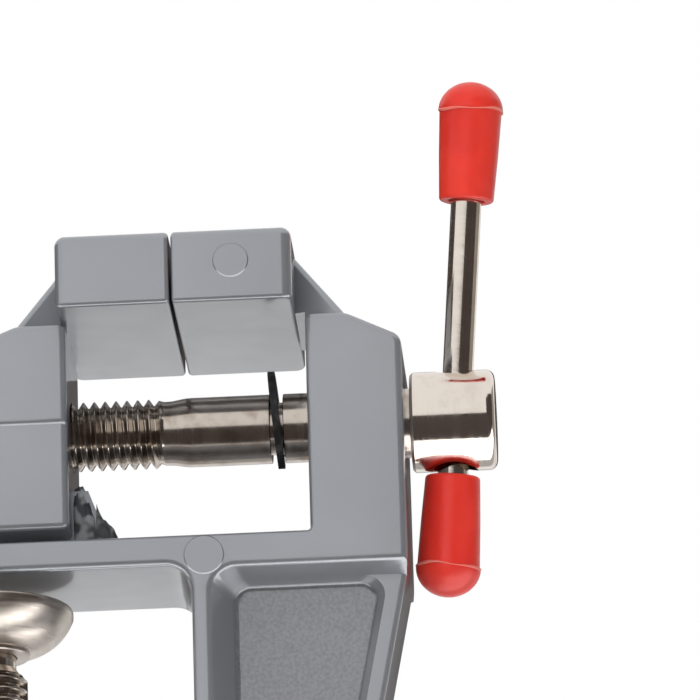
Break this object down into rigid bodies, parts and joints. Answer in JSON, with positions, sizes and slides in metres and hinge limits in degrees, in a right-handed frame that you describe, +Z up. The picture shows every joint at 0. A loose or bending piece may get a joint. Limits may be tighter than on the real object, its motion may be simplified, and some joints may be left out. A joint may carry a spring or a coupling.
{
  "type": "mini table vise",
  "caption": "Small cast table vise: a screw-driven jaw slides on a rail above a C-shaped table clamp, both turned by tommy bars with moulded end caps.",
  "frame": {"origin": "on the table seat under the rail, on the axis of the table clamp screw", "axes": "+X along the vise screw towards its handle, +Y away from the front, +Z up from the table"},
  "size_m": [0.0954, 0.0272, 0.1278],
  "materials": {
    "casting_paint": "grey gloss enamel over a die casting",
    "screw_nickel": "dull nickel plate on a rolled thread",
    "bright_nickel": "bright nickel plate on turned steel",
    "black_spring_steel": "black oxide on stamped spring steel",
    "red_cap": "soft gloss moulded plastic"
  },
  "bodies": {
    "frame": {"frame": "casting_paint"},
    "moving_jaw": {"moving_jaw": "casting_paint"},
    "vise_screw": {"vise_screw": "screw_nickel", "vise_screw_head": "bright_nickel", "retaining_clip": "black_spring_steel"},
    "vise_bar": {"vise_bar": "bright_nickel", "vise_bar_cap_upper": "red_cap", "vise_bar_cap_lower": "red_cap"},
    "clamp_pad": {"clamp_pad": "bright_nickel"},
    "clamp_screw": {"clamp_screw": "screw_nickel", "clamp_screw_head": "bright_nickel"},
    "clamp_bar": {"clamp_bar": "bright_nickel", "clamp_bar_cap_left": "red_cap", "clamp_bar_cap_right": "red_cap"}
  },
  "joints": [
    {"name": "vise_screw_turn", "type": "hinge", "parent": "frame", "child": "vise_screw", "pos_m": [0.05335, 0, 0.0184], "axis": [1, 0, 0], "range_deg": [0, 8636]},
    {"name": "jaw_travel", "type": "slide", "parent": "frame", "child": "moving_jaw", "axis": [-1, 0, 0], "range_m": [0, 0.03]},
    {"name": "vise_bar_slide", "type": "slide", "parent": "vise_screw", "child": "vise_bar", "axis": [0.0872, -0.173, 0.9811], "range_m": [-0.0191, 0]},
    {"name": "clamp_pad_travel", "type": "slide", "parent": "frame", "child": "clamp_pad", "axis": [0, 0, 1], "range_m": [-0.036, 0.002]},
    {"name": "clamp_screw_turn", "type": "hinge", "parent": "clamp_pad", "child": "clamp_screw", "pos_m": [0, 0, -0.03], "axis": [0, 0, 1], "range_deg": [-10368, 576]},
    {"name": "clamp_bar_slide", "type": "slide", "parent": "clamp_screw", "child": "clamp_bar", "axis": [1, 0, 0], "range_m": [-0.0099, 0.0099]}
  ],
  "couplings": [
    {"joint": "jaw_travel", "follows": "vise_screw_turn", "m_per_rad": 0.00019894},
    {"joint": "clamp_screw_turn", "follows": "clamp_pad_travel", "rad_per_m": 5026.5}
  ]
}
